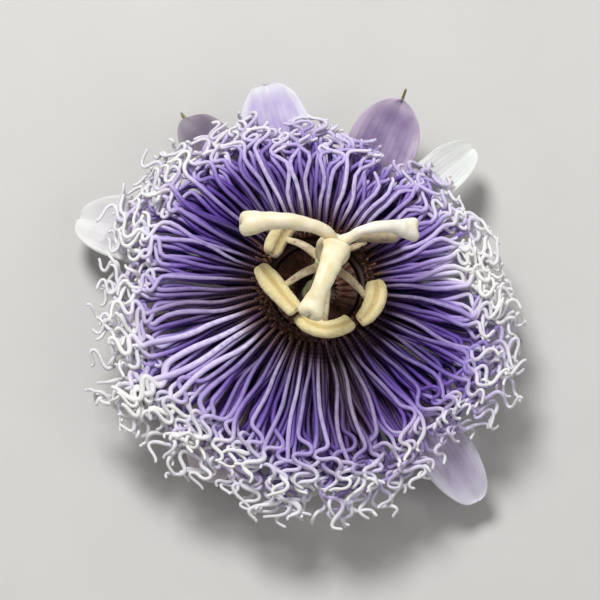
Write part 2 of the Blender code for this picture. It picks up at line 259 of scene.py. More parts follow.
# %% [markdown]
# ## Following a curve
#
# Threads, petals, styles and the stalk are all a section that travels along a line while its size
# changes. Blender can bevel a curve, but then every section is round, and the surface keeps no
# record of where it is along the line. So we walk along the line ourselves, and carry an arrow
# that points sideways. Turning it as little as possible at each step keeps the piece from
# twisting where the line curls.


# %% Carry a sideways arrow along a line
def frames_along(line, across):
    """For each point of the line: the point, and the arrows across, above and ahead of it."""
    frames = []
    for i, here in enumerate(line):
        ahead = (line[min(i + 1, len(line) - 1)] - line[max(i - 1, 0)]).normalized()
        across = (across - ahead * across.dot(ahead)).normalized()
        frames.append((here, across, ahead.cross(across), ahead))
    return frames


def turns_round(count):
    """Even turns round a circle, in radians."""
    return [2 * math.pi * k / count for k in range(count)]


def add_tube(
    skin, line, across, widths, heights, sides=8, own=0.0, alongs=None, mood=(0, 0, 0), ridge=0.0
):
    """A closed tube with half widths and heights, and five ridges that swell by a share of them.

    place holds how far along the tube a point is, its height on the section, and own."""
    turns, rows = turns_round(sides), []
    for i, (here, sideways, above, _) in enumerate(frames_along(line, across)):
        along = alongs[i] if alongs else i / (len(line) - 1)
        row = []
        for turn in turns:
            arrow = sideways * widths[i] * math.cos(turn) + above * heights[i] * math.sin(turn)
            point = here + arrow * (1 + ridge * math.cos(5 * turn))
            row.append((point, (along, math.sin(turn), own)))
        rows.append(row)
    skin.add(rows, mood=mood)


# How far past the end, and how wide, two more sections make the end round, in half widths.
round_end = ((0.55, 0.8), (0.9, 0.35))


def round_off(line, widths):
    """A tube's line and half widths with a round end added."""
    ahead = (line[-1] - line[-2]).normalized() * widths[-1]
    beyond = [line[-1] + ahead * far for far, _ in round_end]
    return line + beyond, widths + [widths[-1] * wide for _, wide in round_end]


bend = frames_along([outward(degrees) for degrees in (0, 45, 90)], across=outward(0))
turned = math.degrees(bend[0][1].angle(bend[-1][1]))
print("Round a short bend the sideways arrow turns", round(turned), "degrees")

# %% [markdown]
# ## Colours and materials
#
# Living tissue is never one colour, so every material here mixes at least two, by place or by
# noise. Nodes could be joined by hand in the editor, but thirty skins would take days. The helpers
# below keep the recipes short: one reads a colour written as a hex code, and the others start a
# material, add a node and join it up. One more choice is made here: colours are shown as they
# are, without a film look, which would wash out the deep violets.

# %% Helpers for nodes
bpy.context.scene.view_settings.view_transform = "Standard"


def paint(code):
    """A hex colour such as '#8877bb' as the linear colour that a shader wants."""
    values = [int(code[i : i + 2], 16) / 255 for i in (1, 3, 5)]
    linear = [v / 12.92 if v <= 0.04045 else ((v + 0.055) / 1.055) ** 2.4 for v in values]
    return (*linear, 1.0)


class Nodes:
    """A material under construction, and ways to add nodes to it."""

    def __init__(self, name, roughness):
        self.material = bpy.data.materials.new(name)
        self.material.use_nodes = True
        self.tree = self.material.node_tree
        self.shader = self.tree.nodes["Principled BSDF"]
        self.set("Roughness", roughness)

    def set(self, socket, value):
        """Sets what is the same all over the surface, on the shader itself."""
        self.shader.inputs[socket].default_value = value

    def feed(self, node, key, value):
        """Joins a socket to an input, or sets the input to a number or a colour."""
        if isinstance(value, bpy.types.NodeSocket):
            self.tree.links.new(value, node.inputs[key])
        else:
            node.inputs[key].default_value = value

    def node(self, kind, inputs, **settings):
        """Adds a node of this kind, with its settings and inputs."""
        made = self.tree.nodes.new(kind)
        for key, value in settings.items():
            setattr(made, key, value)
        for key, value in inputs.items():
            self.feed(made, key, value)
        return made

    def attribute(self, title):
        """What the mesh's attribute of this title says at each point."""
        return self.node("ShaderNodeAttribute", {}, attribute_name=title).outputs["Vector"]

    def read(self, title):
        """The three numbers of an attribute."""
        return self.node("ShaderNodeSeparateXYZ", {"Vector": self.attribute(title)}).outputs

    def maths(self, operation, a, b=0.0):
        """One sum, worked out at every point of the surface."""
        return self.node("ShaderNodeMath", {0: a, 1: b}, operation=operation).outputs[0]

    def chain(self, operation, values):
        """The values joined by the same operation, from first to last."""
        result = values[0]
        for value in values[1:]:
            result = self.maths(operation, result, value)
        return result

    def times(self, *values):
        return self.chain("MULTIPLY", values)

    def plus(self, *values):
        return self.chain("ADD", values)


print("The violet #8877bb is", [round(part, 2) for part in paint("#8877bb")[:3]], "to a shader")

# %% [markdown]
# With these a recipe can be written, but in a long-winded way. So the nodes that nearly every skin
# needs get a name each: a soft change, a mix of two colours, noise, patches, a ramp, bumps, and
# the softness of living tissue.


# %% Helpers for colours and surfaces
class Recipe(Nodes):
    """The changes, mixtures and patterns that skins are made of."""

    def wander(self, value, width):
        """A value from 0 to 1 turned into one that wanders over this width round 0."""
        return self.times(self.maths("SUBTRACT", value, 0.5), width)

    def between(self, value, low, high, to_low=0.0, to_high=1.0):
        """The value remapped smoothly from low..high to to_low..to_high."""
        if low > high:
            low, high, to_low, to_high = high, low, to_high, to_low
        settings = {"Value": value, 1: low, 2: high, 3: to_low, 4: to_high}
        return self.node("ShaderNodeMapRange", settings, interpolation_type="SMOOTHSTEP").outputs[0]

    def mix(self, share, a, b):
        """Colour a where share is 0 and colour b where it is 1."""
        a, b = (paint(colour) if isinstance(colour, str) else colour for colour in (a, b))
        return self.node("ShaderNodeMix", {0: share, 6: a, 7: b}, data_type="RGBA").outputs[2]

    def noise(self, scale, detail, stretch=(1, 1, 1), title=None):
        """Noise from 0 to 1 over the object's own metres, or over an attribute."""
        if title:
            vector = self.attribute(title)
        else:
            vector = self.node("ShaderNodeTexCoord", {}).outputs["Object"]
        spread = self.node("ShaderNodeMapping", {"Vector": vector, "Scale": stretch}).outputs[0]
        inputs = {"Vector": spread, "Scale": scale, "Detail": detail}
        return self.node("ShaderNodeTexNoise", inputs).outputs["Fac"]

    def patches(self, scale, detail, low, high, most=1.0):
        """Soft patches: 0 where the noise is under low, and most where it is over high."""
        return self.between(self.noise(scale, detail), low, high, 0.0, most)

    def ramp(self, value, stops):
        """The colours of the stops, one after the other, as the value rises."""
        made = self.node("ShaderNodeValToRGB", {"Fac": value})
        elements = made.color_ramp.elements
        while len(elements) < len(stops):
            elements.new(1.0)
        for element, (position, colour) in zip(elements, stops):
            element.position, element.color = position, paint(colour)
        return made.outputs["Color"]

    def colour(self, value):
        self.feed(self.shader, "Base Color", value)

    def bump(self, height, depth):
        """Raises the surface by depth, in metres, where height is 1."""
        made = self.node("ShaderNodeBump", {"Height": height, "Distance": depth, "Strength": 1.0})
        self.feed(self.shader, "Normal", made.outputs["Normal"])

    def soft(self, weight, reach):
        """Lets light soak into the surface by about this reach, as it does in petals."""
        self.set("Subsurface Weight", weight)
        self.set("Subsurface Radius", (1.0, 0.7, 0.8))
        self.set("Subsurface Scale", reach)

    def done(self):
        """The finished material."""
        print("The skin", self.material.name, "is mixed with", len(self.tree.nodes), "nodes")
        return self.material


# %% [markdown]
# ## The stalk
#
# The flower was picked, so its stalk ends in a cut. Its rind is green, mottled and a little
# glossy, and the pith in the cut is pale. Two materials could do that, but one recipe that reads
# how far along the stalk it is paints both.

# %% Mix the stalk's rind
recipe = Recipe("stalk rind", roughness=0.48)
along, _, _ = recipe.read("place")
rind = recipe.mix(recipe.patches(420, 5, 0.35, 0.68), "#5d7a2c", "#8fa84a")
pith = recipe.between(along, 0.993, 0.997)
recipe.colour(recipe.mix(pith, rind, "#cdd3a2"))
recipe.bump(recipe.noise(1500, 4, stretch=(1, 1, 0.3)), 0.05 * MM)
recipe.soft(0.1, 0.5 * MM)
stalk_skin = recipe.done()

# %% [markdown]
# The stalk is smooth, with five faint ridges that run along it. A bevelled curve would be
# perfectly round, so we use our own tube and let it swell a little at each ridge. At the cut the
# tube turns inwards in two small steps.

# %% Build the stalk
stations = 70
rings = rings_of("stalk", corners=10, start=middle + UP * cup_foot)
line = smooth_line([mean(ring) for ring in rings], stations)
line[0] = line[0] + UP * 0.5 * MM  # into the cup's foot
stalk_radius = half_extent(rings[-2], UP)
end = line[-1]
inwards = (line[-2] - end).normalized() * 0.12 * MM
line += [end - inwards * 0.3, end + inwards]
swell, reach = 0.12, 5  # it is thicker over the first five stations, next to the cup
radii = [stalk_radius * (1 + swell * bell(i, reach)) for i in range(stations)]
radii += [stalk_radius * 0.82, stalk_radius * 0.3]
alongs = [0.985 * i / (stations - 1) for i in range(stations)] + [0.998, 1.0]
skin = Skin()
across = outward(direction_of(end) + 90)
add_tube(skin, line, across, radii, radii, sides=30, alongs=alongs, ridge=0.045)
skin.piece("cut_stalk", stalk_skin, "stalk")

# %% [markdown]
# ## Blades: one way of making bracts, sepals and petals
#
# Bracts, sepals and petals are all leaves at heart: a thin blade with veins that run from its root
# to its tip. The solid gives the middle line and the width. What makes a blade look alive is
# added across it: the edges lift and ruffle, the middle sinks into a channel, a slow unevenness
# spoils the symmetry, and the blade thins out towards its edge. Sepals also carry a keel on the
# underside. All of it is real shape, so it shows from every side.


# %% One blade
def blade_half_width(share, widest, root):
    """Narrow at the root, widest beyond the middle, and blunt at the tip."""
    widest_at = 0.62
    beyond = max(0.0, (share - widest_at) / (1 - widest_at))
    swell = root + (widest - root) * smooth_step(share / widest_at)
    return max(swell * math.sqrt(max(0.0, 1 - beyond**2.6)), 0.12 * MM)


def add_blade(
    skin, rings, thickness, cupping, ruffle, seed, keel=0.0, tip_share=1.0, tuck=0.9 * MM
):
    """A blade along a solid's rings, which starts a tuck inside the cup.

    place holds along, across, and 1 above or -1 below. Gives the line and its direction."""
    lengthwise, crosswise = 84, 22
    middles = [mean(ring) for ring in rings]
    middles.insert(0, middles[0] + (middles[0] - middles[1]).normalized() * tuck)
    towards = direction_of(middles[-1])
    across = outward(towards + 90)
    halves = [half_extent(ring, across) for ring in rings]
    widest, root = max(halves), halves[0]
    closer = 1.6  # above 1, the rows lie closer together towards the tip
    shares = [1 - (1 - i / (lengthwise - 1)) ** closer for i in range(lengthwise)]
    line = [smooth_value(middles, share * tip_share) for share in shares]
    sweep = [2 * k / crosswise - 1 for k in range(crosswise + 1)]
    rows = []
    for share, (here, sideways, above, _) in zip(shares, frames_along(line, across)):
        half = blade_half_width(share, widest, root)
        half *= 1 + 0.05 * noise.noise(Vector((4 * share, seed, 0.3)))
        to_tip = 1 - share
        top, bottom = [], []
        for u in sweep:
            channel = 0.3 * MM * bell(u, 0.22) * smooth_step(2 * share)
            rise = cupping * half / widest * (u * u - 0.4) - channel
            edge = abs(u) ** 3 * smooth_step(share / 0.35)
            wave = noise.noise(Vector((7 * share, 3.1 * seed, math.copysign(2, u))))
            slow = noise.noise(Vector((2.1 * share, 1.2 * u, seed)))
            rise += ruffle * (2.0 * edge * wave + 0.9 * slow * smooth_step(share / 0.5))
            point = here + sideways * u * half + above * rise
            thin = thickness * (1 - 0.75 * u**4) * (0.45 + 0.55 * smooth_step(to_tip / 0.2))
            ridge = keel * bell(u, 0.1) * smooth_step(share / 0.1) * smooth_step(to_tip / 0.25)
            top.append((point + above * thin / 2, (share, u, 1.0)))
            bottom.append((point - above * (thin / 2 + ridge), (share, u, -1.0)))
        rows.append(top + bottom[::-1])
    skin.add(rows)
    return line, towards


near_tip = 2 * blade_half_width(0.9, widest=6 * MM, root=2 * MM)
print("Nine tenths along, a blade 12 mm wide is", round(near_tip / MM, 1), "mm wide")

# %% [markdown]
# ## The bracts
#
# Three small green leaves sit under the flower. They have a midrib with side veins that slant
# towards the tip. The veins are lines of constant `along - slant * across`, which one wave texture
# can't do on both halves at once, so the recipe works with the distance from the midrib instead.

# %% Mix the skin of a bract
recipe = Recipe("bract leaf", roughness=0.5)
along, across, side = recipe.read("place")
from_rib = recipe.maths("ABSOLUTE", across)
slanted = recipe.maths("SUBTRACT", along, recipe.times(from_rib, 0.22))
side_veins = recipe.between(recipe.maths("SINE", recipe.times(slanted, 60.0)), 0.8, 1.0)
rib = recipe.between(from_rib, 0.07, 0.02)
veins = recipe.maths("MAXIMUM", rib, recipe.times(side_veins, 0.6))
blade = recipe.mix(recipe.patches(500, 5, 0.3, 0.7), "#44612a", "#67853a")
# The upper side is darker than the paler underside: partly the leaf's own colour, and partly
# painted shade for the tips that show in the dark gaps between the threads.
blade = recipe.mix(recipe.between(side, 0.5, -0.5, 0.0, 0.35), blade, "#b9c98f")
recipe.colour(recipe.mix(recipe.times(veins, 0.6), blade, "#97ab6a"))
recipe.bump(recipe.times(veins, recipe.noise(900, 3)), 0.12 * MM)
recipe.soft(0.15, 0.8 * MM)
bract_skin = recipe.done()

# %% [markdown]
# In shape a bract is a thin blade, only a little cupped and ruffled, with a low keel under its
# midrib. Its root is tucked further in than a petal's, because it sits lower on the cup.

# %% Build the bracts
for number in (1, 2, 3):
    rings = rings_of(f"bract_{number}", corners=10, start=middle + UP * cup_foot)
    skin = Skin()
    add_blade(
        skin, rings, thickness=0.45 * MM, cupping=0.5 * MM, ruffle=0.35 * MM, seed=20 + number,
        keel=0.25 * MM, tuck=1.2 * MM,
    )
    skin.piece(f"bract_leaf_{number}", bract_skin, f"bract_{number}")

# %% [markdown]
# ## The sepals and the petals
#
# Five sepals and five petals take turns round the cup. On this flower they are nearly alike from
# above: pale lavender, darker along the veins and almost white at the rim. Towards the root their
# upper side is painted dark violet, as painted shade under the threads. From below the sepals are
# green, with a keel that runs out into a small horn, the awn. Each blade has its own tint, so the
# recipe takes its colours as arguments.


# %% Mix the skin of a sepal or petal
def tepal_skin(name, heart, rim, vein, under):
    """The skin of one blade: the colours of its heart, its rim, its veins and its underside."""
    recipe = Recipe(name, roughness=0.6)
    along, across, side = recipe.read("place")
    from_rib = recipe.maths("ABSOLUTE", across)
    wander = recipe.wander(recipe.noise(3.0, 3, title="place"), 0.25)
    lines = recipe.maths("SINE", recipe.times(recipe.plus(across, wander), 34.0))
    veins = recipe.times(recipe.between(lines, 0.2, 1.0), recipe.between(along, 1.0, 0.6))
    outermost = recipe.maths("MAXIMUM", from_rib, recipe.maths("POWER", along, 4.0))
    to_rim = recipe.between(outermost, 0.55, 0.98, 0.0, 0.8)
    cloudy = recipe.patches(260, 4, 0.35, 0.7, most=0.35)
    above = recipe.mix(recipe.plus(to_rim, cloudy), heart, rim)
    above = recipe.mix(recipe.times(veins, 0.35), above, vein)
    # Painted shade: towards the root the upper side turns deep violet, where the threads shade it.
    above = recipe.mix(recipe.between(along, 0.5, 0.15, 0.0, 0.85), above, "#3b2c5e")
    below = recipe.mix(recipe.between(from_rib, 0.35, 0.95), under, rim)
    below = recipe.mix(recipe.times(veins, 0.4), below, vein)
    blade = recipe.mix(recipe.between(side, -0.95, -0.7), below, above)
    awn = recipe.mix(recipe.noise(900, 4), "#6f6a3c", "#97905c")
    recipe.colour(recipe.mix(recipe.between(along, 1.01, 1.06), blade, awn))
    fine = recipe.times(recipe.noise(1800, 4), 0.5)
    recipe.bump(recipe.plus(recipe.times(veins, 0.6), fine), 0.07 * MM)
    recipe.soft(0.25, 1.2 * MM)
    recipe.set("Sheen Weight", 0.1)
    return recipe.done()


# %% [markdown]
# The petals come first. Only their tips show from above, past the crimped threads, so these get
# the broadest ruffles.

# %% Build the petals
petal_colours = {
    1: ("#b3a6d0", "#e9e8ee", "#9587ba", "#c2b9d2"),
    2: ("#d6d3d6", "#ecebe8", "#b5b0c2", "#cfcbd2"),
    3: ("#cfc0ca", "#e6dbdf", "#ac9cb0", "#c9bac6"),
    4: ("#c2b8d2", "#dfdae6", "#9c91b8", "#b8aecb"),
    5: ("#dcdddc", "#f0f1ec", "#b4b2bd", "#d2d2d2"),
}
for number, colours in petal_colours.items():
    rings = rings_of(f"petal_{number}", corners=10, start=cup_top)
    skin = Skin()
    add_blade(skin, rings, thickness=0.4 * MM, cupping=1.3 * MM, ruffle=0.55 * MM, seed=number)
    material = tepal_skin(f"petal {number}", *colours)
    skin.piece(f"petal_blade_{number}", material, f"petal_{number}")

# %% [markdown]
# A sepal is the same blade, but thicker and keeled. Its awn is a thin tapering tube that grows out
# of the keel just before the tip and runs on to the end of the solid. Its `along` counts on past
# 1, which tells the recipe to paint it as horn.

# %% Build the sepals
sepal_colours = {
    1: ("#8d78a0", "#c9bbd0", "#75618a", "#8a9a62"),
    2: ("#6e6276", "#928a94", "#564a60", "#7f8f5c"),
    3: ("#a39bae", "#d5d2d8", "#81779a", "#8fa263"),
    4: ("#aeb0a6", "#dddfd4", "#8b917f", "#94a868"),
    5: ("#a398b4", "#d6d1dc", "#7f749c", "#8fa263"),
}
awn_length, awn_points = 1.8 * MM, 24
for number, colours in sepal_colours.items():
    rings = rings_of(f"sepal_{number}", corners=10, start=cup_top)
    root, tip = mean(rings[0]), mean(rings[-1])
    skin = Skin()
    line, towards = add_blade(
        skin, rings, thickness=0.6 * MM, cupping=1.3 * MM, ruffle=0.4 * MM, seed=10 + number,
        keel=0.75 * MM, tip_share=1 - awn_length / (tip - root).length,
    )
    horn = smooth_line([line[-22] - UP * 1.0 * MM, line[-8] - UP * 0.8 * MM, tip], awn_points)
    girth = [(0.42 - 0.2 * i / (awn_points - 1)) * MM for i in range(awn_points)]
    horn, girth = round_off(horn, girth)
    alongs = [0.9 + 0.3 * i / (len(horn) - 1) for i in range(len(horn))]
    add_tube(skin, horn, outward(towards + 90), girth, girth, sides=10, own=-1.0, alongs=alongs)
    material = tepal_skin(f"sepal {number}", *colours)
    skin.piece(f"sepal_blade_{number}", material, f"sepal_{number}")

# %% [markdown]
# ## Turned organs
#
# The cup, the lid, the column and the ovary are round about an axis, like things turned on a
# lathe. But nothing that grows is as true as lathe work, so the helper takes a function that
# pushes each point in or out. Folds, ribs and pleats all come from that one function.


# %% Turn a profile round an axis
def add_turned(skin, foot, axis, profile, count, shape, joined=False):
    """Sweeps a (radius, height) profile round an axis. shape(share, turn) gives (out, up) to add.

    place holds the share of the profile. A joined profile is a loop round a hole in the middle."""
    side = axis.orthogonal().normalized()
    front = axis.cross(side)
    rows = []
    for i, (radius, height) in enumerate(profile):
        share = i / (len(profile) - 1)
        row = []
        for turn in turns_round(count):
            out, up = shape(share, turn)
            away = side * math.cos(turn) + front * math.sin(turn)
            point = foot + away * max(radius + out, 0.02 * MM) + axis * (height + up)
            row.append((point, (share, 0.0, 0.0)))
        rows.append(row)
    skin.add(rows, joined=joined)


def smooth_profile(corners, count):
    """Rounds the corners of a (radius, height) profile given in millimetres."""
    line = smooth_line([Vector((radius, height, 0)) * MM for radius, height in corners], count)
    return [(max(point.x, 0.0), point.y) for point in line]


farthest = max(radius for radius, _ in smooth_profile(((1, 0), (2, 1), (1, 2)), 41))
print("Rounding leaves a corner 2 mm out", round(farthest / MM, 2), "mm out")

# %% [markdown]
# ## The cup
#
# The cup is the fleshy base that everything stands on. Outside it is pale green, and inside it is
# a deep nectar chamber, dark brown. The brown runs on over the rim and a little way down the
# outside, as painted shade under the threads. It could be two pieces, but then a seam would show at
# the rim. So it is one, and the share of its profile tells the recipe which side it is painting.

# %% Mix the cup's skin
recipe = Recipe("cup", roughness=0.45)
share, _, _ = recipe.read("place")
mottled = recipe.patches(380, 5, 0.35, 0.7)
outside = recipe.mix(mottled, "#8da457", "#b3c27f")
chamber = recipe.mix(mottled, "#2a130d", "#452519")
# Dark brown from the chamber floor, over the rim and a little way down the outside, where it is
# painted shade under the threads.
recipe.colour(recipe.mix(recipe.between(share, 0.66, 0.6), outside, chamber))
recipe.bump(recipe.noise(1300, 4), 0.05 * MM)
recipe.soft(0.12, 0.8 * MM)
cup_skin = recipe.done()

# %% [markdown]
# The profile is one closed line: from the floor of the chamber up its wall, over the rim, and down
# the outside to the stalk. Ten soft folds run down the outside, one under each sepal and petal.

# %% Build the cup
rim, foot, wide = cup_rim / MM, cup_foot / MM, cup_radius / MM
bottom = rim - 5.0  # the floor of the chamber
cup_corners = (  # (radius, height) in millimetres
    (0, bottom), (2.4, bottom), (4.6, bottom), (6.6, bottom + 1.0), (7.8, bottom + 2.8),
    (8.0, rim - 0.6), (8.3, rim - 0.1), (9.4, rim), (10.4, rim - 0.1), (wide, rim - 0.7),
    (wide - 0.1, rim - 2.5), (9.6, rim - 4.7), (7.0, foot + 1.5), (4.0, foot + 0.4),
    (2.2, foot + 0.1), (1.0, foot), (0, foot),
)


def cup_folds(share, turn):
    """Ten folds on the outside only."""
    outside = smooth_step((share - 0.6) / 0.1) * smooth_step((0.97 - share) / 0.1)
    return 0.22 * MM * outside * math.cos(10 * turn + 0.4), 0.0


skin = Skin()
add_turned(skin, middle, UP, smooth_profile(cup_corners, 80), count=120, shape=cup_folds)
skin.piece("nectar_cup", cup_skin, "receptacle")

# %% [markdown]
# ## The lid of the nectar chamber
#
# A thin pleated lid, the operculum, closes the chamber round the column. It is a dark wine brown
# with a few paler flecks. A painted picture could carry them, but fine noise does it at any size.

# %% Mix the lid's skin
recipe = Recipe("lid", roughness=0.5)
body = recipe.mix(recipe.patches(700, 5, 0.35, 0.7), "#3a1c12", "#5e3929")
flecks = recipe.patches(2400, 2, 0.62, 0.7, most=0.5)
recipe.colour(recipe.mix(flecks, body, "#8a6650"))
recipe.bump(recipe.noise(1700, 3), 0.06 * MM)
recipe.set("Specular IOR Level", 0.3)
lid_skin = recipe.done()

# %% [markdown]
# The lid rises from the column to the wall, in fine folds that run outwards, and its inner edge is
# frilled. It is a closed loop of profile swept right round, with the pleats added by the shape
# function.

# %% Build the lid
low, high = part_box("operculum")
wall = (high.x - low.x) / 2 / MM
low, high = low.z / MM, high.z / MM
lid_corners = (  # (radius, height) in millimetres: outwards on top, then back underneath
    (3.9, low + 0.6), (5.2, low + 0.95), (6.4, low + 1.35), (wall, high), (wall + 0.1, high - 0.3),
    (wall, high - 0.6), (6.4, low + 0.85), (5.2, low + 0.45), (3.9, low + 0.1), (3.7, low + 0.35),
)
top_share = 0.33  # the part of the profile that is the lid's upper side


def pleats(share, turn):
    """Thirty pleats, deepest half-way across the top, and a frill where the loop closes."""
    deep = math.sin(math.pi * (share / top_share)) if share < top_share else 0.4
    fold = math.sin(30 * turn)
    frill = bell(share % 1.0, 0.06) + bell(1 - share, 0.12)
    return 0.25 * MM * frill * fold, 0.24 * MM * deep * fold


skin = Skin()
lid_profile = smooth_profile(lid_corners, 40)
add_turned(skin, middle, UP, lid_profile, count=240, shape=pleats, joined=True)
skin.piece("pleated_lid", lid_skin, "operculum")

# %% [markdown]
# ## The long threads: where each one runs
#
# The corona makes the flower. Each wheel is a ring of threads, dark brown at the root, violet
# along their straight part, then lilac, and finally cream white where they crimp. First we need
# the run of every thread. With the ring itself removed, the solid falls apart into one island
# for each thread, and each island has four points to a row.


# %% Find every thread of a wheel
def thread_lines(node):
    """For each long thread, the middles of its rows from near its root to its tip."""
    solid = welded(node)
    ring = [vertex for vertex in solid.verts if from_axis(vertex.co) < cup_radius + 0.5 * MM]
    bmesh.ops.delete(solid, geom=ring, context="VERTS")
    lines, seen = [], set()
    for start in solid.verts:
        if start in seen:
            continue
        seen.add(start)
        island, fresh = [start], [start]
        while fresh:
            fresh = neighbours(fresh, seen)
            island += fresh
        points = sorted((vertex.co.copy() for vertex in island), key=from_axis)
        lines.append([mean(points[i : i + 4]) for i in range(0, len(points), 4)])
    solid.free()
    return sorted(lines, key=lambda line: direction_of(line[0]))


lower_lines, upper_lines = thread_lines("outer_corona"), thread_lines("middle_corona")
print("The wheels have", len(lower_lines), "and", len(upper_lines), "threads")

# %% [markdown]
# ## The colour of a thread
#
# The ramp runs from root to tip. Along the crest of some threads a paler lilac, almost white, is
# painted on as a highlight, which gives the corona its stripes, and the underside carries painted
# shade. Close to the root fine bands cross the thread. Three numbers of the thread's mood steer
# it: how bright its painted highlight is, how deep its violet is, and how much of it has faded to
# brown.


# %% Mix the thread skin
def thread_skin(name, deep_stops, pale_stops, highlight):
    """The skin of a wheel's threads, between two ramps, with the last colour painted on their
    crests as a highlight.
    """
    recipe = Recipe(name, roughness=0.5)
    along, height, own = recipe.read("place")
    brightness, depth, fading = recipe.read("mood")
    grain = recipe.wander(recipe.noise(900, 3), 0.1)
    spot = recipe.plus(along, recipe.wander(own, 0.12), grain)
    body = recipe.mix(depth, recipe.ramp(spot, pale_stops), recipe.ramp(spot, deep_stops))
    faded = recipe.times(fading, recipe.between(along, 0.8, 0.3))
    body = recipe.mix(faded, body, "#4a3440")
    # The painted highlight: a pale stripe along the upper side of the straight part, in streaks.
    straight = recipe.times(recipe.between(along, 0.06, 0.14), recipe.between(along, 0.72, 0.45))
    streaky = recipe.noise(5.0, 2, stretch=(6, 1, 40), title="place")
    streak = recipe.between(streaky, 0.3, 0.6, 0.55, 1.0)
    lit_height = recipe.between(recipe.plus(height, recipe.times(brightness, 0.4)), 0.35, 0.95)
    highlight_colour = recipe.mix(recipe.between(along, 0.10, 0.24), "#8f7d86", highlight)
    shine = recipe.times(lit_height, brightness, straight, streak)
    body = recipe.mix(shine, body, highlight_colour)
    bands = recipe.between(recipe.maths("SINE", recipe.times(along, 330.0)), 0.1, 0.8)
    by_root = recipe.times(recipe.between(along, 0.0, 0.04), recipe.between(along, 0.16, 0.1))
    body = recipe.mix(recipe.times(by_root, bands, 0.25), body, "#8a7482")
    # Painted shade on the underside, weaker towards the tip.
    below = recipe.between(height, 0.2, -0.8)
    shade = recipe.times(below, recipe.between(along, 0.9, 0.5, 0.15, 0.8))
    recipe.colour(recipe.mix(shade, body, "#160826"))
    recipe.bump(recipe.noise(2600, 4), 0.05 * MM)
    recipe.soft(0.05, 0.3 * MM)
    recipe.set("Specular IOR Level", 0.3)
    return recipe.done()


deep_violet = (
    (0.02, "#4a2c20"), (0.08, "#321828"), (0.17, "#280f42"), (0.30, "#36186a"), (0.42, "#4f2d8d"),
    (0.51, "#7253ae"), (0.61, "#a691d4"), (0.72, "#dbd2ec"), (0.84, "#f2f0f0"),
)
pale_violet = (
    (0.02, "#563626"), (0.08, "#48263c"), (0.17, "#4e2c72"), (0.30, "#6a46a0"), (0.41, "#8a6bbe"),
    (0.50, "#a990d6"), (0.61, "#cabbea"), (0.72, "#e6dff2"), (0.84, "#f5f3f0"),
)
shaded_violet = (
    (0.02, "#341c14"), (0.10, "#25101c"), (0.20, "#1e0a32"), (0.34, "#25104f"), (0.45, "#3c2270"),
    (0.54, "#64489f"), (0.65, "#9d86cc"), (0.76, "#cdc0e4"), (0.89, "#ebe8ec"),
)
# The lower wheel lies under the upper one, so it gets the shaded ramp and a dimmer highlight
# colour: painted shade.
upper_skin = thread_skin("upper thread", deep_violet, pale_violet, highlight="#e3d8fa")
lower_skin = thread_skin("lower thread", shaded_violet, deep_violet, highlight="#a992d6")

# %% [markdown]
# ## Crimping a thread
#
# A thread leaves the ring straight. Past the middle of its run it starts to meander, like permed
# hair, and each bend takes about five millimetres. A river on a plain does the same: its heading
# swings from side to side. So that is how we make the bends. We walk along the thread in small
# steps of equal length, let the heading swing, and add up the steps. The bends come out round,
# never sharp. Each bend has a strength and a length of its own, and a slow pull brings the thread
# back to its line, so the threads cross one another but none runs away.

# %% Walk along a crimped thread
straight_step, crimped_step = 1.4 * MM, 0.38 * MM
drift = 2.4 * MM  # how far a thread strays from its line before it crimps
pull_back = 0.1  # the turn back towards the line, in radians for each millimetre off it
most_backwards = -0.35  # how far a step may run back along the line, as a share of it
settling = 0.03  # the share of its lift that a thread loses at each step


def crimped(line, start, kept, swing, bend, dice):
    """A thread's points and shares. It meanders from start to kept, both shares of the line."""
    base = smooth_line(line, 40)
    length = sum((b - a).length for a, b in zip(base, base[1:]))
    across = UP.cross((base[-1] - base[0]).normalized()).normalized()
    seed, side, tilt = dice.uniform(0, 99), dice.choice((-1, 1)), dice.uniform(-0.6, 0.6)
    strength, pace, phase = swing, bend, 0.0
    done, sideways, lift = 0.0, 0.0, 0.0
    points, shares = [], []
    while done < kept * length:
        share = done / length
        sway = drift * noise.noise(Vector((3.2 * share, seed, 0))) * smooth_step(share / 0.4)
        points.append(smooth_value(base, share) + across * (sideways + sway) + UP * lift)
        shares.append(share)
        if share < start:
            done += straight_step
            continue
        heading = side * strength * smooth_step((share - start) / 0.12) * math.sin(phase)
        heading -= pull_back * sideways / MM
        done += crimped_step * max(math.cos(heading), most_backwards)
        sideways += crimped_step * math.sin(heading) * math.cos(tilt)
        lift += crimped_step * math.sin(heading) * math.sin(tilt) * 0.8 - settling * lift
        phase += math.pi * crimped_step / pace
        if phase > math.pi:
            phase, side = phase - math.pi, -side
            strength, pace = swing * dice.uniform(0.65, 1.25), bend * dice.uniform(0.7, 1.35)
            tilt += dice.uniform(-0.7, 0.7)
    return points, shares, across


points, _, _ = crimped(upper_lines[0], 0.5, 1.0, swing=1.3, bend=4 * MM, dice=random.Random(1))
print("A crimped thread has", len(points), "points")

# %% [markdown]
# ## The mood of a thread
#
# The light and the age of the threads differ round the flower, so the violet isn't even. It is
# palest to the right, at 22 degrees, and deepest at the lower right, at 318. The strongest painted
# highlights on the crests stand at the lower left, at 210, and two narrow places, at 190 and 286,
# have faded. Each table below is a list of soft patches, and a thread adds up what it feels of
# them. Every thread has a chance of its own on top.

# %% Shade the flower by direction
# Each patch: the direction of its middle, its width in degrees, and its strength.
deeper = ((22, 40, -0.5), (80, 30, -0.2), (318, 34, 0.45), (146, 18, 0.5), (258, 25, 0.2))
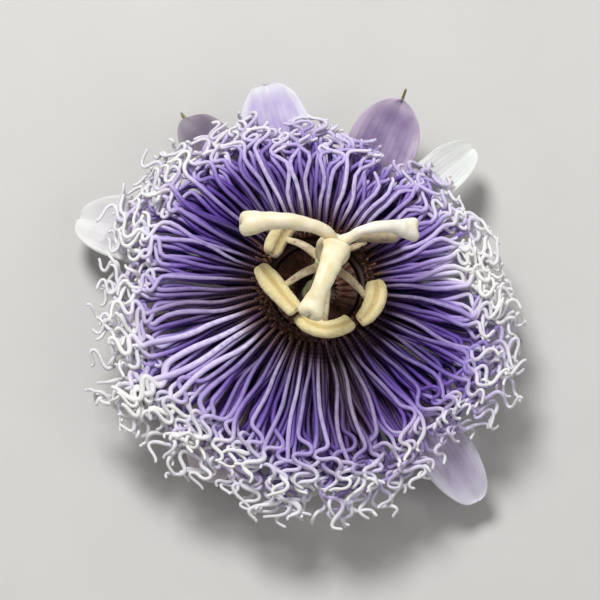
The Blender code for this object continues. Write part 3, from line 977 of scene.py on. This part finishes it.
# How much stronger or weaker the painted highlights on the crests are in each direction.
highlight_patches = ((210, 16, 2.2), (318, 34, -0.35), (90, 25, 0.25), (146, 16, -0.3))
faded = ((286, 11, 0.8), (190, 9, 0.7))
striped = ((212, 17, 1.0),)
fatter = ((212, 16, 0.4),)
cut_short = ((308, 9, 0.22), (61, 9, 0.3))
sooner_ripe = ((4, 14, 0.26), (158, 22, 0.06), (214, 20, 0.05), (275, 20, -0.07), (318, 24, -0.07))


def felt(patches, degrees):
    """How strongly the patches are felt in this direction."""
    total = 0.0
    for towards, width, strength in patches:
        total += strength * bell((degrees - towards + 180) % 360 - 180, width)
    return total


def mood_of(degrees, brightness, dice):
    """(brightness of the painted highlight on the crest, depth of the violet, fading) of a thread
    that points this way.
    """
    highlight = brightness * (0.5 + felt(highlight_patches, degrees)) * dice.choice((0.3, 0.8, 1.1, 1.3))
    # Threads with weak highlights get a deeper violet, more so at 212 degrees: painted shade
    # between the bright threads.
    depth = 0.5 + felt(deeper, degrees) + (0.3 - 1.2 * brightness) * felt(striped, degrees)
    depth += 0.35 * (1 - brightness) + dice.uniform(-0.2, 0.2)
    return tuple(min(max(value, 0.0), 1.0) for value in (highlight, depth, felt(faded, degrees)))


print("Mood towards 30 degrees:", [round(value, 2) for value in mood_of(30, 1.0, random.Random(1))])

# %% [markdown]
# ## One long thread
#
# A thread is thin at the root, fullest in the middle of its straight part, and thins out again
# where it crimps. It starts inside the fleshy ring, so its line gets one more point there. Its
# `along` is the average of two measures, how much of its own run is done and how far out it is,
# so that the colours of neighbours agree though their lengths differ.

# %% Make one long thread
crimps_from = 24 * MM  # from the axis
straight_least, straight_most = 0.35, 0.7  # the shares of its run that a thread may be straight
usual_bend = 4.8 * MM  # along the thread, from one crossing of its line to the next
full_colour_run = 31 * MM  # from the cup's edge to where a thread is white


def thread_girth(share):
    """Half the width of a long thread."""
    full = 0.27 + 0.17 * smooth_step(share / 0.4) - 0.06 * smooth_step((share - 0.5) / 0.2)
    return (full - 0.1 * smooth_step((share - 0.85) / 0.15)) * MM


def add_long_thread(skin, line, brightness, shorter, dice):
    """Crimps, paints and adds one thread. shorter is the most that it may fall short by."""
    degrees = direction_of(line[0])
    root = middle + outward(degrees) * (cup_radius - 0.9 * MM) + UP * (line[0].z - 1.1 * MM)
    line = [root] + line
    kept = 1 - shorter * dice.random() - felt(cut_short, degrees)
    start = crimps_from * dice.uniform(0.85, 1.2) - cup_radius
    start /= from_axis(line[-1]) - cup_radius
    start = min(max(start, straight_least), straight_most)
    run, shares, across = crimped(line, start, kept, dice.uniform(1.1, 1.55), usual_bend, dice)
    shares = [share / kept for share in shares]
    fuller, sooner = 1 + brightness * felt(fatter, degrees), felt(sooner_ripe, degrees)
    alongs = []
    for point, share in zip(run, shares):
        reached = (from_axis(point) - cup_radius) / full_colour_run
        alongs.append((share + reached) / 2 + sooner * smooth_step(share / 0.4))
    run, widths = round_off(run, [thread_girth(share) * fuller for share in shares])
    heights = [0.95 * width for width in widths]
    alongs += [alongs[-1]] * len(round_end)
    mood = mood_of(degrees, brightness, dice)
    add_tube(skin, run, across, widths, heights, 8, dice.random(), alongs, mood)


print("Half-way along, a long thread is", round(2 * thread_girth(0.5) / MM, 2), "mm thick")

# %% [markdown]
# ## Building the wheels
#
# The real corona is so dense that nothing shows between the threads. So each thread of a solid
# becomes four: one on its own line, and three darker ones between it and its neighbour, each a
# little lower. They are darker as painted shade, with weaker painted highlights and a deeper
# violet. The threads grow out of a narrow fleshy ring, which belongs to the first piece.
# The random numbers come from one seeded source, so the flower is the same each time.

# %% Build the two wheels of long threads
# For each row: how far it is turned, in shares of a step, how many millimetres lower it lies, how
# bright the painted highlights on its crests are, and by what share its threads may fall short.
thread_rows = (
    (0, 0.0, 1.0, 0.08), (1 / 6, 0.5, 0.2, 0.16), (2 / 6, 1.0, 0.1, 0.2), (0.72, 1.4, 0.1, 0.25)
)


def add_ring(skin, inner, outer, low, high, count, lobes):
    """A fleshy ring with a rounded section, which swells this many times round the flower."""
    rows = []
    for k in range(count):
        turn = 360 * k / count
        away = outward(turn)
        lobe = 0.08 * MM * math.cos(math.radians(turn) * lobes)
        row = []
        for angle in turns_round(12):
            radius = (inner + outer) / 2 + (outer - inner) / 2 * math.cos(angle) + lobe
            height = (low + high) / 2 + (high - low) / 2 * math.sin(angle) + lobe
            row.append((middle + away * radius + UP * height, (0.0, math.sin(angle), 0.5)))
        rows.append(row)
    skin.add(rows, joined=True)


def beside(line, degrees, drop):
    """The line turned round the flower's axis, and lowered."""
    turn = Matrix.Rotation(math.radians(degrees), 3, "Z")
    return [middle + turn @ (point - middle) - UP * drop for point in line]


def long_wheel(name, node, lines, material, shine, seed):
    """Builds a wheel's four pieces. shine is the brightness of the painted highlights on its
    crests.
    """
    dice = random.Random(seed)
    step = 360 / len(lines)
    for number, (turn, drop, brightness, shorter) in enumerate(thread_rows, 1):
        skin = Skin()
        for line in lines:
            moved = beside(line, turn * step, drop * MM)
            add_long_thread(skin, moved, brightness * shine, shorter, dice)
        if number == 1:
            ring_at = lines[0][0].z - 1.2 * MM
            inner, outer = cup_radius - 1.5 * MM, cup_radius - 0.3 * MM
            low, high = ring_at - 0.5 * MM, ring_at + 0.4 * MM
            add_ring(skin, inner, outer, low, high, count=336, lobes=len(lines))
        skin.piece(f"{name}_{number}", material, node)


# The lower wheel lies in the shade of the upper one, so its painted highlights are dimmer.
long_wheel("lower_threads", "outer_corona", lower_lines, lower_skin, shine=0.4, seed=3)
long_wheel("upper_threads", "middle_corona", upper_lines, upper_skin, shine=1.0, seed=8)

# %% [markdown]
# ## The collar of short threads
#
# Inside the long threads stands a collar of short stiff ones, dark brown, with a paler bloom at
# their rounded tips. The bloom is stronger on some than on others, so the recipe weighs it with
# the thread's own random number.

# %% Mix the collar's skin
recipe = Recipe("collar", roughness=0.4)
along, _, own = recipe.read("place")
bloom = recipe.times(recipe.between(along, 0.7, 1.0, 0.0, 0.8), own)
body = recipe.mix(recipe.patches(1500, 4, 0.35, 0.7), "#3c2016", "#66402c")
recipe.colour(recipe.mix(bloom, body, "#5f4240"))
recipe.bump(recipe.noise(2600, 3), 0.04 * MM)
collar_skin = recipe.done()

# %% [markdown]
# The threads come in three rows: the inner row stands up round the lid, the next leans a little,
# and the shorter outer row leans over the roots of the long threads. Each one is a tube along a
# curve through three points, and a ring like those of the wheels joins them all.

# %% Build the collar
collar_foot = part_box("inner_corona")[0].z
ring_inner, ring_outer = cup_radius - 2.1 * MM, cup_radius - 0.9 * MM
short_threads = 108
leans, heights = (0.2, 1.0, 2.0), (2.3, 2.2, 1.3)  # millimetres, from the inner row to the outer
girth = [0.24 * MM] * 6 + [0.25 * MM, 0.22 * MM, 0.1 * MM]
dice = random.Random(5)
skin = Skin()
ring_top = collar_foot + 0.95 * MM
add_ring(skin, ring_inner, ring_outer, collar_foot, ring_top, count=288, lobes=72)
for number in range(short_threads):
    away = outward(360 / short_threads * number + dice.uniform(-0.8, 0.8))
    row = number % 3
    root = middle + away * (ring_inner + (0.15 + 0.35 * row) * MM) + UP * (collar_foot + 0.6 * MM)
    lean = leans[row] * MM * dice.uniform(0.8, 1.2)
    tall = heights[row] * MM * dice.uniform(0.85, 1.05)
    stand = [root, root + away * 0.3 * lean + UP * 0.55 * tall, root + away * lean + UP * tall]
    line = smooth_line(stand, len(girth))
    add_tube(skin, line, UP.cross(away), girth, girth, own=dice.random())
skin.piece("collar", collar_skin, "inner_corona")

# %% [markdown]
# ## The column
#
# The column lifts the stamens and the ovary above the corona, and here it leans to one side. To
# follow the lean we need its axis. The points of a turned solid spread evenly round its axis, so
# the direction in which they spread the most is the axis: a standard calculation finds it. The
# distances from the axis then give the profile.


# %% Find the axis and profile of a turned solid
def turned_solid(node):
    """The foot, the axis and the (radius, height) profile of a round solid, from foot to top."""
    solid = welded(node)
    points = np.array([vertex.co[:] for vertex in solid.verts])
    solid.free()
    centre = points.mean(axis=0)
    axis = Vector(np.linalg.svd(points - centre)[2][0])
    axis = axis if axis.z > 0 else -axis
    measured = set()
    for point in points:
        offset = Vector(point - centre)
        height = offset.dot(axis)
        measured.add((round((offset - axis * height).length, 5), round(height, 5)))
    profile = sorted(measured, key=lambda pair: pair[1])
    foot = Vector(centre) + axis * profile[0][1]
    return foot, axis, [(radius, height - profile[0][1]) for radius, height in profile]


column_foot, column_axis, column_profile = turned_solid("androgynophore")
column_height = column_profile[-1][1]
column_top = column_foot + column_axis * column_height
lean = math.degrees(column_axis.angle(UP))
print("The column leans by", round(lean), "degrees, and is", round(column_height / MM), "mm tall")

# %% [markdown]
# The column is waxy and pale green, with purple flecks that crowd together near its foot. Five
# shallow ribs run up it, one to each stamen.


# %% Build the column
def waxy_skin(name, light, dark, fleck, flecks_from, flecks_to):
    """Pale waxy tissue, whose flecks thin out from one share of its length to another."""
    recipe = Recipe(name, roughness=0.38)
    along, _, _ = recipe.read("place")
    body = recipe.mix(recipe.patches(520, 4, 0.3, 0.7), dark, light)
    thinning = recipe.between(along, flecks_to, flecks_from, 0.0, 0.85)
    flecks = recipe.times(recipe.patches(1500, 2, 0.55, 0.62), thinning)
    recipe.colour(recipe.mix(flecks, body, fleck))
    recipe.bump(recipe.noise(1400, 4), 0.04 * MM)
    recipe.soft(0.2, 1.0 * MM)
    return recipe.done()


def ribs(share, turn):
    """Five ribs that begin a little above the foot."""
    return 0.14 * MM * math.cos(5 * turn) * smooth_step(share * 4), 0.0


column_skin = waxy_skin("column", "#d9dba6", "#b9c083", "#5b2a4e", flecks_from=0.05, flecks_to=0.8)
profile = [(0.0, 0.0)] + column_profile + [(0.0, column_height)]
corners = [(radius / MM, height / MM) for radius, height in profile]
skin = Skin()
column_line = smooth_profile(corners, 60)
add_turned(skin, column_foot, column_axis, column_line, count=60, shape=ribs)
skin.piece("column", column_skin, "androgynophore")

# %% [markdown]
# ## The ovary
#
# The ovary is a small cream egg on top of the column, a little greener low down. Three faint
# furrows run down it, between the styles.

# %% Build the ovary
ovary_foot, ovary_axis, ovary_profile = turned_solid("ovary")
ovary_height = ovary_profile[-1][1]
ovary_top = ovary_foot + ovary_axis * ovary_height
ovary_radius = 1.12 * max(radius for radius, _ in ovary_profile)
egg = []
for i in range(41):
    turn = math.pi * i / 40
    egg.append((ovary_radius * math.sin(turn), ovary_height / 2 * (1 - math.cos(turn))))


def furrows(share, turn):
    """Three furrows, deepest half-way up."""
    return -0.16 * MM * bell(math.sin(1.5 * turn), 0.25) * math.sin(math.pi * share), 0.0


ovary_skin = waxy_skin("ovary", "#f0e5c0", "#ded4a8", "#c4ba86", flecks_from=0.0, flecks_to=0.6)
skin = Skin()
add_turned(skin, ovary_foot, ovary_axis, egg, count=72, shape=furrows)
skin.piece("ovary_egg", ovary_skin, "ovary")

# %% [markdown]
# ## The stamens
#
# Five stamens hang out from the top of the column. A stamen is a flat strap, the filament, with an
# anther balanced across its end. The strap starts inside the column's head and ends under the
# anther, so that no gap shows.

# %% Build the filaments
filament_skin = waxy_skin(
    "filament", "#dccfa6", "#b9a68c", "#8a5a6e", flecks_from=0.95, flecks_to=0.1
)
stations = 40
for number in range(1, 6):
    rings = rings_of(f"filament_{number}", corners=6, start=column_top)
    anther = mean([vertex.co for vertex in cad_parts[f"anther_{number}"].data.vertices])
    middles = [mean(ring) for ring in rings]
    root = middles[0] + (column_top - column_axis * 0.7 * MM - middles[0]) * 0.45
    tip = middles[-1] + (anther - middles[-1]) * 0.6 - UP * 0.3 * MM
    line = smooth_line([root] + middles + [tip], stations)
    across = (middles[-1] - middles[0]).cross(UP).normalized()
    widths = [(0.85 - 0.3 * smooth_step(i / (stations - 1))) * MM for i in range(stations)]
    skin = Skin()
    add_tube(skin, line, across, widths, heights=[0.42 * MM] * stations, sides=16)
    skin.piece(f"filament_strap_{number}", filament_skin, f"filament_{number}")

# %% [markdown]
# ## The anthers
#
# An anther is a pair of long pollen sacs side by side. It has split open, so the groove between the
# sacs is the colour of ochre, and its rims are dusted with pale pollen. Some anthers lie in the
# shade of the styles, so grey-mauve patches are painted on them as shade: most on the first, less
# on the second and fifth. Fine noise stands for the grains.

# %% Mix the pollen
# The share of each anther that is painted grey-mauve, as the shade of the styles over it.
painted_anther_shade = {1: 0.75, 2: 0.25, 3: 0.0, 4: 0.0, 5: 0.1}  # the share, for each anther


def pollen_skin(number, shade_share):
    """The skin of one anther, painted grey-mauve as shade over the given share of it."""
    recipe = Recipe(f"pollen {number}", roughness=0.85)
    _, _, groove = recipe.read("place")
    dust = recipe.patches(1100, 6, 0.3, 0.7)
    sacs = recipe.mix(dust, "#e6d393", "#f5e7b6")
    hollow = recipe.mix(dust, "#c8ad6a", "#dcc588")
    ragged = recipe.plus(groove, recipe.wander(dust, 0.5))
    sacs = recipe.mix(recipe.between(ragged, 0.35, 0.95), sacs, hollow)
    sacs = recipe.mix(recipe.between(groove, -0.1, -0.6, 0.0, 0.6), sacs, "#a9936a")
    # Painted shade: grey-mauve patches over part of the anther.
    shaded_patches = recipe.between(recipe.noise(600, 4), 0.7, 0.3, shade_share * 0.7, shade_share)
    recipe.colour(recipe.mix(shaded_patches, sacs, "#7d6a6c"))
    grains = recipe.times(recipe.noise(5200, 2), 0.7)
    recipe.bump(recipe.plus(grains, recipe.times(dust, 0.6)), 0.09 * MM)
    recipe.set("Sheen Weight", 0.25)
    recipe.soft(0.12, 0.5 * MM)
    return recipe.done()


# %% [markdown]
# The section of an anther is drawn by a formula: an oval with a dip in the middle. The ends of the
# sacs are rounded and reach a little past the tissue between them. That comes from moving the
# points near each end along the anther, the more the nearer they are to the groove.


# %% Shape an anther
def anther_section(sides):
    """(across, up, groove) round two sacs, with a furrow between them above and below."""
    section = []
    for turn in turns_round(sides):
        x, y = math.cos(turn), math.sin(turn)
        furrow = bell(x, 0.36)
        groove = furrow if y > 0 else -bell(x, 0.6)
        section.append((x, y * (1 - (0.38 if y > 0 else 0.3) * furrow), groove))
    return section


def anther_rows(number, line, across, shares, half_width, half_height):
    """The anther's rows, each full in the middle and closing to a round end."""
    rows = []
    for share, (here, sideways, above, ahead) in zip(shares, frames_along(line, across)):
        from_middle = 2 * share - 1
        full = max((1 - abs(from_middle) ** 2.6), 0.0) ** 0.5
        full *= 1 + 0.25 * noise.noise(Vector((3 * share, 1.7 * number, 0.5)))
        to_end = math.copysign(abs(from_middle) ** 6, from_middle)
        row = []
        for x, y, groove in anther_section(36):
            spot = here + sideways * x * half_width
            rough = 1 + 0.05 * noise.noise(spot * 2200 + Vector((0, 0, y)))
            point = here + ahead * (-0.6 * MM * to_end * bell(x, 0.45))
            point += (sideways * x * half_width + above * y * half_height) * full * rough
            row.append((point, (share, x, groove * full)))
        rows.append(row)
    return rows


sacs = max(height for _, height, _ in anther_section(36))
print("The sacs rise to", round(sacs, 2), "and the furrow to", round(anther_section(4)[1][1], 2))

# %% [markdown]
# The solid tells how an anther lies. Its rings give the middle line, and the widest direction of
# the middle ring points across it. The rows lie closer together towards both ends, where the
# shape closes.

# %% Build the anthers
stations = 60
shares = [(1 - math.cos(math.pi * i / (stations - 1))) / 2 for i in range(stations)]
for number, anther_shade in painted_anther_shade.items():
    node = f"anther_{number}"
    points = [vertex.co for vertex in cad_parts[node].data.vertices]
    centre = mean(points)
    one_end = max(points, key=lambda point: (point - centre).length)
    rings = rings_of(node, corners=8, start=one_end)
    middles = [mean(ring) for ring in rings]
    waist = rings[len(rings) // 2]
    across = max((point - mean(waist) for point in waist), key=lambda arrow: arrow.length)
    across = across.normalized()
    if (middles[-1] - middles[0]).cross(across).z < 0:
        across = -across
    half_width = 1.12 * max(half_extent(ring, across) for ring in rings[2:-2])
    line = [smooth_value(middles, share) for share in shares]
    skin = Skin()
    skin.add(anther_rows(number, line, across, shares, half_width, 0.66 * half_width))
    skin.piece(f"pollen_sacs_{number}", pollen_skin(number, anther_shade), node)

# %% [markdown]
# ## The styles
#
# Three cream styles spread from the top of the ovary, above the stamens. Each one is a slim club:
# it grows wider towards its end, where it carries a broad velvety stigma that is dented in the
# middle, like a kidney. Each style has a cream of its own, so the recipe takes two creams. It
# darkens them near the ovary, and paints shade on them underneath.


# %% Mix the style's skin
def style_skin(number, cream, paler_cream):
    """The skin of one style, darker near the ovary, with painted shade underneath, and velvety at
    its end.
    """
    recipe = Recipe(f"style {number}", roughness=0.42)
    along, height, _ = recipe.read("place")
    body = recipe.mix(recipe.patches(420, 4, 0.3, 0.7), cream, paler_cream)
    # Painted shade on the underside.
    body = recipe.mix(recipe.between(height, 0.15, -0.8, 0.0, 0.8), body, "#cdbb8a")
    body = recipe.mix(recipe.between(along, 0.25, 0.0, 0.0, 0.5), body, "#ddd0a6")
    velvet = recipe.between(along, 0.8, 0.92)
    stigma = recipe.mix(recipe.patches(1900, 3, 0.35, 0.65), "#eadfb8", paler_cream)
    recipe.colour(recipe.mix(recipe.times(velvet, 0.6), body, stigma))
    papillae = recipe.times(recipe.noise(3800, 2), velvet)
    fine = recipe.times(recipe.noise(1500, 3), 0.25)
    recipe.bump(recipe.plus(papillae, fine), 0.12 * MM)
    recipe.soft(0.2, 1.0 * MM)
    return recipe.done()


style_creams = {1: ("#f2e7cf", "#fdf8ec"), 2: ("#ecdfb8", "#faf1d9"), 3: ("#efe0b2", "#fcf2d2")}

# %% [markdown]
# The end of a style is closed by a curve that stays full and then rounds off quickly. Its dent
# comes from drawing the middle of the end back along the style.


# %% Shape a style
def closing(share, closes_from):
    """1 until closes_from, then a blunt round end."""
    beyond = max(0.0, (share - closes_from) / (1 - closes_from))
    return max(1 - beyond**2.4, 0.0) ** 0.5


def style_rows(line, across, swelling):
    """The rows of a style. swelling is half its width at each point of the line."""
    rows = []
    for i, (here, sideways, above, ahead) in enumerate(frames_along(line, across)):
        share = i / (len(line) - 1)
        half_width = max(swelling[i] * closing(share, 0.87), 0.06 * MM)
        stigma = smooth_step((share - 0.7) / 0.3)
        thick = (1.05 + 0.45 * smooth_step(share / 0.6) + 0.3 * stigma) * MM
        half_height = max(min(swelling[i], thick) * closing(share, 0.84), 0.06 * MM)
        row = []
        for turn in turns_round(28):
            x, y = math.cos(turn), math.sin(turn)
            dent = smooth_step((share - 0.82) / 0.18) * bell(x, 0.5)
            point = here - ahead * 0.7 * MM * dent
            point += sideways * x * half_width + above * y * half_height * (1 - 0.15 * dent)
            lump = noise.noise(point * 500) * 0.16 * MM * min(half_width / MM, 1.0)
            row.append((point + (sideways * x + above * y) * lump, (share, y, x)))
        rows.append(row)
    return rows


print("Near its end a style keeps", round(closing(0.97, closes_from=0.87), 2), "of its width")

# %% [markdown]
# The styles meet on the ovary, so each line starts inside it and then follows the solid. A short
# table of widths gives each one its own outline. The third is broad near its root too.

# %% Build the styles
# Half the width of each style in millimetres, at even steps from the ovary to the stigma's end.
style_widths = {
    1: (1.3, 0.95, 1.0, 1.25, 1.85, 2.55),
    2: (1.3, 1.1, 1.3, 1.6, 2.05, 2.5),
    3: (1.4, 2.5, 2.0, 1.6, 2.05, 2.6),
}
stations = 96
for number, widths in style_widths.items():
    rings = rings_of(f"style_{number}", corners=8, start=ovary_top)
    middles = [mean(ring) for ring in rings]
    across = UP.cross(middles[-1] - middles[0]).normalized()
    inside = ovary_top - ovary_axis * 1.2 * MM
    middles = [inside, inside.lerp(middles[0], 0.5) + ovary_axis * 0.5 * MM] + middles[1:]
    swelling = [width * MM for width in smooth_line(widths, stations)]
    skin = Skin()
    skin.add(style_rows(smooth_line(middles, stations), across, swelling))
    material = style_skin(number, *style_creams[number])
    skin.piece(f"style_arm_{number}", material, f"style_{number}")

# %% [markdown]
# ## The floor, the camera and the lights
#
# The flower lies on a plain pale floor, so nothing takes the eye away from it. A slow noise keeps
# the floor from looking like a flat colour. It belongs to the stage, not to the flower.

# %% Lay the floor
recipe = Recipe("pale floor", roughness=0.8)
recipe.colour(recipe.mix(recipe.noise(60, 5), "#cfcdca", "#d7d5d2"))
recipe.bump(recipe.noise(900, 3), 0.03 * MM)
bpy.ops.mesh.primitive_plane_add(size=2, location=(0, 0, -0.05 * MM))  # just under the stalk
floor = bpy.context.object
floor.name = "floor"
floor.data.materials.append(recipe.done())
print("The floor lies at", round(floor.location.z / MM, 2), "mm")

# %% [markdown]
# The camera stands a little in front of the flower and looks steeply down, almost along its axis.
# A short lens close by would make the styles look larger than the rest, so a long one is used
# from further off.

# %% Aim the camera
aim = Vector((0, 0, 14 * MM))
elevation, distance = math.radians(76), 0.74
camera = bpy.data.objects.new("camera", bpy.data.cameras.new("camera"))
camera.data.lens = 250
camera.data.clip_start = 0.01
camera.location = aim + distance * Vector((0, -math.cos(elevation), math.sin(elevation)))
camera.rotation_euler = (aim - camera.location).to_track_quat("-Z", "Y").to_euler()
bpy.context.collection.objects.link(camera)
bpy.context.scene.camera = camera
print("The camera stands", round(camera.location.z, 2), "metres above the floor")

# %% [markdown]
# One big soft lamp above the far side models the shapes, and a weaker one fills in. An even white
# sky lights what they leave dark.


# %% Hang the lamps
def soft_lamp(name, place, size, watts):
    """A round lamp of this size, turned towards the flower."""
    lamp = bpy.data.lights.new(name, "AREA")
    lamp.shape = "DISK"
    lamp.size, lamp.energy = size, watts
    holder = bpy.data.objects.new(name, lamp)
    holder.location = place
    holder.rotation_euler = (aim - Vector(place)).to_track_quat("-Z", "Y").to_euler()
    bpy.context.collection.objects.link(holder)
    print("The", name, "lamp shines with", watts, "watts")


soft_lamp("key", place=(-0.15, 0.35, 0.6), size=0.25, watts=4.2)
soft_lamp("fill", place=(0.5, -0.3, 0.5), size=0.6, watts=0.8)
world = bpy.data.worlds.new("studio")
world.use_nodes = True
background = world.node_tree.nodes["Background"]
background.inputs["Color"].default_value = (1, 1, 1, 1)
background.inputs["Strength"].default_value = 0.28
bpy.context.scene.world = world
